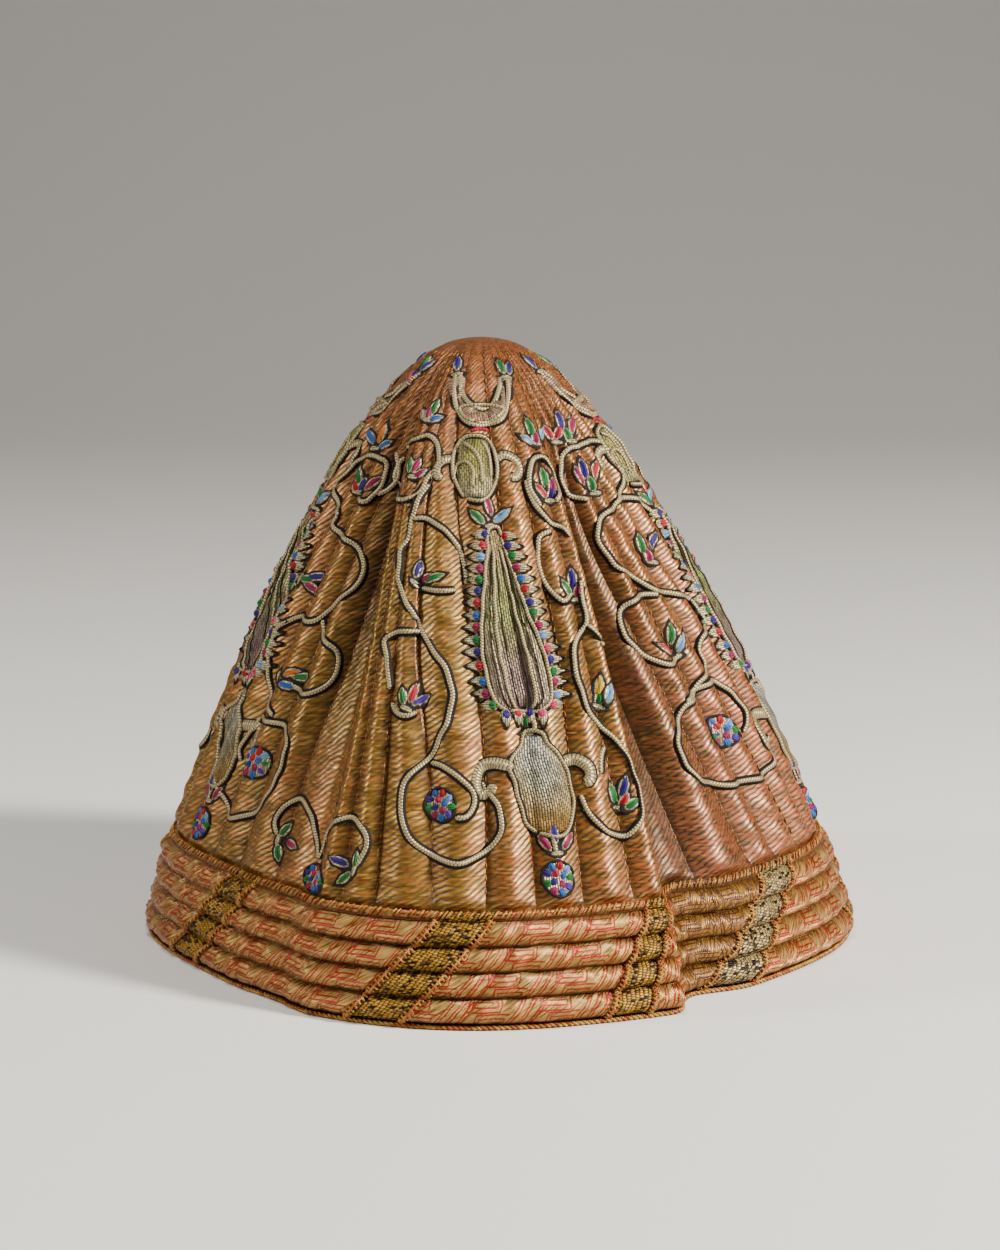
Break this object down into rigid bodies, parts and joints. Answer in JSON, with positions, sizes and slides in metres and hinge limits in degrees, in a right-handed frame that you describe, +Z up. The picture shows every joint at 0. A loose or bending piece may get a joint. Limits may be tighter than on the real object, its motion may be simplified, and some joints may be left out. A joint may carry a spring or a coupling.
{
  "type": "dervish hat",
  "caption": "Tall cone-shaped hat of quilted, embroidered gold brocade with a padded, pieced band round the rim; it stands on its rim and is hollow for a head.",
  "frame": {"origin": "middle of the footprint, on the surface the hat stands on", "axes": "+Z up through the point of the crown, -Y towards the front, +X to the right of the front view"},
  "size_m": [0.2114, 0.2146, 0.1756],
  "materials": {
    "crown_brocade": "gold brocade in a steep twill, quilted and embroidered",
    "band_brocade": "silver and red brocade with a key pattern, sewn over padded rolls",
    "brown_brocade": "brown gold brocade, sewn over padded rolls",
    "olive_brocade": "olive gold brocade, sewn over padded rolls",
    "gold_cord": "twisted gold cord"
  },
  "bodies": {
    "root": {"crown": "crown_brocade", "band_panel_01": "band_brocade", "band_panel_02": "band_brocade", "band_panel_03": "band_brocade", "band_panel_04": "brown_brocade", "band_panel_05": "band_brocade", "band_panel_06": "band_brocade", "band_panel_07": "band_brocade", "band_panel_08": "band_brocade", "band_panel_09": "band_brocade", "band_panel_10": "band_brocade", "band_strip_01": "olive_brocade", "band_strip_02": "olive_brocade", "band_strip_03": "olive_brocade", "band_strip_04": "olive_brocade", "band_strip_05": "olive_brocade", "band_strip_06": "olive_brocade", "band_strip_07": "olive_brocade", "band_strip_08": "olive_brocade", "band_strip_09": "olive_brocade", "hem_cord": "gold_cord"}
  },
  "joints": []
}
